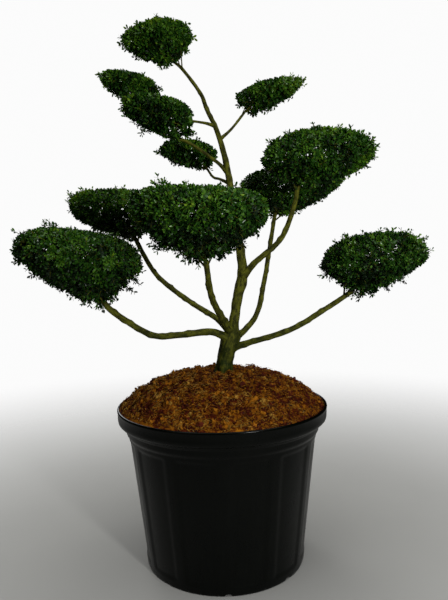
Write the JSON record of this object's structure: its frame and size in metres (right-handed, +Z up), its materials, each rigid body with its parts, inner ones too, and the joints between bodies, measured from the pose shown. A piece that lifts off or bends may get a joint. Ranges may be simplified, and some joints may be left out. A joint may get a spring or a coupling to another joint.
{
  "type": "potted cloud-pruned japanese holly",
  "caption": "Cloud-pruned holly with clipped leaf pads on bare boughs, planted in a round black nursery pot with a domed bark mulch.",
  "frame": {"origin": "centre of the pot's flat underside", "axes": "+Z up, +X towards the lone pad on the low right bough, +Y to the back of the plant"},
  "size_m": [1.3212, 0.8468, 1.7569],
  "materials": {
    "pot_plastic": "moulded black polypropylene with a slight gloss",
    "mulch": "loose orange-brown fibrous bark mulch",
    "bark": "thin olive-brown bark with small knots",
    "leaves": "small glossy dark green leaves, fresher at the tips"
  },
  "bodies": {
    "root": {"pot": "pot_plastic", "mulch_fill": "mulch", "trunk": "bark", "bough_low_left": "bark", "bough_left_back": "bark", "bough_front": "bark", "bough_right_front": "bark", "bough_right_back": "bark", "bough_low_right": "bark", "bough_upper_left_back": "bark", "bough_upper_left": "bark", "bough_middle_back": "bark", "bough_upper_right": "bark", "foliage_top": "leaves", "foliage_upper_left_back": "leaves", "foliage_upper_left": "leaves", "foliage_middle_back": "leaves", "foliage_upper_right": "leaves", "foliage_right_front": "leaves", "foliage_right_back": "leaves", "foliage_low_right": "leaves", "foliage_centre_front": "leaves", "foliage_left_back": "leaves", "foliage_low_left": "leaves"}
  },
  "joints": []
}
